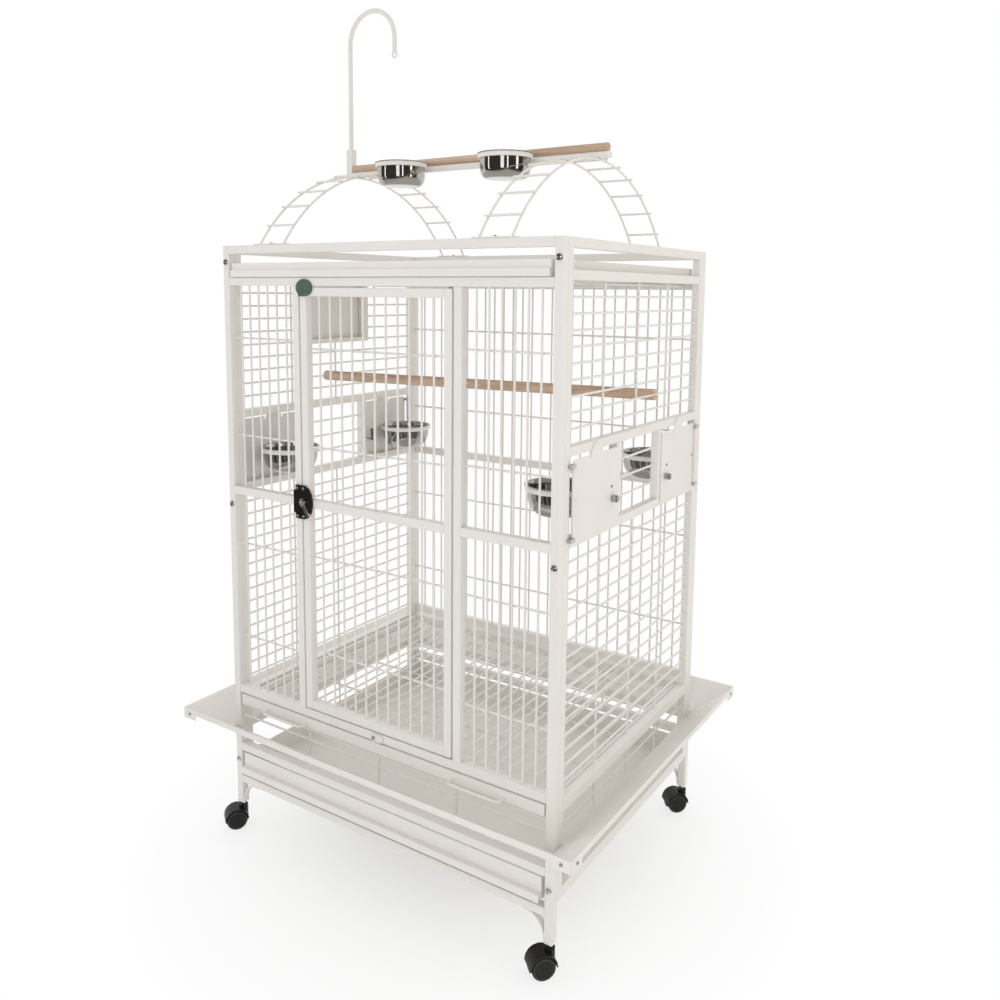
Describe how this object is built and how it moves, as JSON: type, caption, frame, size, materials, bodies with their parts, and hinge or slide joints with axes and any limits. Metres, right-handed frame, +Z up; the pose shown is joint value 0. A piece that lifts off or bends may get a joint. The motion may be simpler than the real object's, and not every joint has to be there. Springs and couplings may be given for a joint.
{
  "type": "bird cage on stand",
  "caption": "Tall barred bird cage on a wheeled stand with a play top, a hinged front door, swing-out feeders, pull-out trays and sloped seed skirts.",
  "frame": {"origin": "on the floor, under the middle of the cage", "axes": "+Z up, +X to the right of someone who faces the main door, the main door faces -Y"},
  "size_m": [1.086, 0.883, 2.047],
  "materials": {
    "coat": "satin powder coat",
    "chrome": "polished",
    "zinc": "satin",
    "stainless": "polished",
    "wood": "bare, sanded",
    "badge": "gloss, bare",
    "black_plastic": "satin",
    "wheel": "satin"
  },
  "bodies": {
    "cage": {"front_frame": "coat", "back_frame": "coat", "left_frame": "coat", "right_frame": "coat", "front_bars": "coat", "back_bars": "coat", "left_bars": "coat", "right_bars": "coat", "guard_wires": "coat", "roof_bars": "coat", "leg_braces": "coat", "skirt_front": "coat", "skirt_right": "coat", "skirt_back": "coat", "skirt_left": "coat", "tray_runners": "coat", "hinge_pins": "zinc", "cage_perch": "wood", "arch_left": "coat", "arch_right": "coat", "play_beam": "coat", "play_perch": "wood", "play_cup_rings": "coat", "caster_stems": "chrome"},
    "main_door": {"door_frame": "coat", "door_bars": "coat", "door_badge": "badge", "latch_plate": "black_plastic"},
    "latch_lever": {"latch_lever": "chrome"},
    "bottom_tray": {"bottom_tray": "coat"},
    "top_tray": {"top_tray": "coat"},
    "grate": {"grate_frame": "coat", "grate_bars": "coat"},
    "lock_tab": {"lock_tab": "coat"},
    "nest_door": {"nest_door": "coat"},
    "toy_hook": {"toy_hook": "coat"},
    "play_cup_left": {"play_cup_left": "stainless"},
    "play_cup_right": {"play_cup_right": "stainless"},
    "feeder_door_left_front": {"feeder_door_left_front": "coat"},
    "feeder_knob_left_front": {"feeder_knob_left_front": "chrome"},
    "feeder_cup_left_front": {"feeder_cup_left_front": "stainless"},
    "feeder_door_left_back": {"feeder_door_left_back": "coat"},
    "feeder_knob_left_back": {"feeder_knob_left_back": "chrome"},
    "feeder_cup_left_back": {"feeder_cup_left_back": "stainless"},
    "feeder_door_right_front": {"feeder_door_right_front": "coat"},
    "feeder_knob_right_front": {"feeder_knob_right_front": "chrome"},
    "feeder_cup_right_front": {"feeder_cup_right_front": "stainless"},
    "feeder_door_right_back": {"feeder_door_right_back": "coat"},
    "feeder_knob_right_back": {"feeder_knob_right_back": "chrome"},
    "feeder_cup_right_back": {"feeder_cup_right_back": "stainless"},
    "caster_hood_front_left": {"caster_hood_front_left": "black_plastic"},
    "caster_wheels_front_left": {"caster_wheels_front_left": "wheel"},
    "caster_hood_front_right": {"caster_hood_front_right": "black_plastic"},
    "caster_wheels_front_right": {"caster_wheels_front_right": "wheel"},
    "caster_hood_back_left": {"caster_hood_back_left": "black_plastic"},
    "caster_wheels_back_left": {"caster_wheels_back_left": "wheel"},
    "caster_hood_back_right": {"caster_hood_back_right": "black_plastic"},
    "caster_wheels_back_right": {"caster_wheels_back_right": "wheel"}
  },
  "joints": [
    {"name": "main_door_hinge", "type": "hinge", "parent": "cage", "child": "main_door", "pos_m": [0.1985, -0.346, 0.868], "axis": [0, 0, 1], "range_deg": [0, 105]},
    {"name": "latch_turn", "type": "hinge", "parent": "main_door", "child": "latch_lever", "pos_m": [-0.2005, -0.362, 0.8715], "axis": [0, -1, 0], "range_deg": [0, 90]},
    {"name": "bottom_tray_slide", "type": "slide", "parent": "cage", "child": "bottom_tray", "axis": [0, -1, 0], "range_m": [0, 0.6]},
    {"name": "top_tray_slide", "type": "slide", "parent": "cage", "child": "top_tray", "axis": [0, -1, 0], "range_m": [0, 0.6]},
    {"name": "grate_slide", "type": "slide", "parent": "cage", "child": "grate", "axis": [0, -1, 0], "range_m": [0, 0.6]},
    {"name": "lock_tab_turn", "type": "hinge", "parent": "cage", "child": "lock_tab", "pos_m": [0, -0.3575, 0.3695], "axis": [0, 1, 0], "range_deg": [0, 90]},
    {"name": "nest_door_hinge", "type": "hinge", "parent": "cage", "child": "nest_door", "pos_m": [-0.462, 0.1165, 1.29], "axis": [0, 0, -1], "range_deg": [0, 100]},
    {"name": "toy_hook_turn", "type": "hinge", "parent": "cage", "child": "toy_hook", "pos_m": [-0.376, 0, 1.68], "axis": [0, 0, 1], "continuous": true},
    {"name": "feeder_door_left_front_hinge", "type": "hinge", "parent": "cage", "child": "feeder_door_left_front", "pos_m": [-0.462, -0.311, 0.952], "axis": [0, 0, 1], "range_deg": [0, 100]},
    {"name": "feeder_knob_left_front_turn", "type": "hinge", "parent": "feeder_door_left_front", "child": "feeder_knob_left_front", "pos_m": [-0.45, -0.138, 0.929], "axis": [-1, 0, 0], "range_deg": [0, 90]},
    {"name": "feeder_cup_left_front_lift", "type": "slide", "parent": "feeder_door_left_front", "child": "feeder_cup_left_front", "axis": [0, 0, 1], "range_m": [0, 0.07]},
    {"name": "feeder_door_left_back_hinge", "type": "hinge", "parent": "cage", "child": "feeder_door_left_back", "pos_m": [-0.462, 0.311, 0.952], "axis": [0, 0, -1], "range_deg": [0, 100]},
    {"name": "feeder_knob_left_back_turn", "type": "hinge", "parent": "feeder_door_left_back", "child": "feeder_knob_left_back", "pos_m": [-0.45, 0.138, 0.929], "axis": [1, 0, 0], "range_deg": [0, 90]},
    {"name": "feeder_cup_left_back_lift", "type": "slide", "parent": "feeder_door_left_back", "child": "feeder_cup_left_back", "axis": [0, 0, 1], "range_m": [0, 0.07]},
    {"name": "feeder_door_right_front_hinge", "type": "hinge", "parent": "cage", "child": "feeder_door_right_front", "pos_m": [0.462, -0.311, 0.952], "axis": [0, 0, -1], "range_deg": [0, 100]},
    {"name": "feeder_knob_right_front_turn", "type": "hinge", "parent": "feeder_door_right_front", "child": "feeder_knob_right_front", "pos_m": [0.45, -0.138, 0.929], "axis": [-1, 0, 0], "range_deg": [0, 90]},
    {"name": "feeder_cup_right_front_lift", "type": "slide", "parent": "feeder_door_right_front", "child": "feeder_cup_right_front", "axis": [0, 0, 1], "range_m": [0, 0.07]},
    {"name": "feeder_door_right_back_hinge", "type": "hinge", "parent": "cage", "child": "feeder_door_right_back", "pos_m": [0.462, 0.311, 0.952], "axis": [0, 0, 1], "range_deg": [0, 100]},
    {"name": "feeder_knob_right_back_turn", "type": "hinge", "parent": "feeder_door_right_back", "child": "feeder_knob_right_back", "pos_m": [0.45, 0.138, 0.929], "axis": [1, 0, 0], "range_deg": [0, 90]},
    {"name": "feeder_cup_right_back_lift", "type": "slide", "parent": "feeder_door_right_back", "child": "feeder_cup_right_back", "axis": [0, 0, 1], "range_m": [0, 0.07]},
    {"name": "play_cup_left_lift", "type": "slide", "parent": "cage", "child": "play_cup_left", "axis": [0, 0, 1], "range_m": [0, 0.08]},
    {"name": "play_cup_right_lift", "type": "slide", "parent": "cage", "child": "play_cup_right", "axis": [0, 0, 1], "range_m": [0, 0.08]},
    {"name": "caster_front_left_swivel", "type": "hinge", "parent": "cage", "child": "caster_hood_front_left", "pos_m": [-0.4475, -0.346, 0.057], "axis": [0, 0, 1], "continuous": true},
    {"name": "caster_front_left_roll", "type": "hinge", "parent": "caster_hood_front_left", "child": "caster_wheels_front_left", "pos_m": [-0.45782, -0.36074, 0.025], "axis": [-0.8192, 0.5736, 0], "continuous": true},
    {"name": "caster_front_right_swivel", "type": "hinge", "parent": "cage", "child": "caster_hood_front_right", "pos_m": [0.4475, -0.346, 0.057], "axis": [0, 0, 1], "continuous": true},
    {"name": "caster_front_right_roll", "type": "hinge", "parent": "caster_hood_front_right", "child": "caster_wheels_front_right", "pos_m": [0.43593, -0.35979, 0.025], "axis": [-0.766, 0.6428, 0], "continuous": true},
    {"name": "caster_back_left_swivel", "type": "hinge", "parent": "cage", "child": "caster_hood_back_left", "pos_m": [-0.4475, 0.346, 0.057], "axis": [0, 0, 1], "continuous": true},
    {"name": "caster_back_left_roll", "type": "hinge", "parent": "caster_hood_back_left", "child": "caster_wheels_back_left", "pos_m": [-0.46309, 0.337, 0.025], "axis": [-0.5, 0.866, 0], "continuous": true},
    {"name": "caster_back_right_swivel", "type": "hinge", "parent": "cage", "child": "caster_hood_back_right", "pos_m": [0.4475, 0.346, 0.057], "axis": [0, 0, 1], "continuous": true},
    {"name": "caster_back_right_roll", "type": "hinge", "parent": "caster_hood_back_right", "child": "caster_wheels_back_right", "pos_m": [0.43477, 0.33327, 0.025], "axis": [-0.7071, 0.7071, 0], "continuous": true}
  ]
}
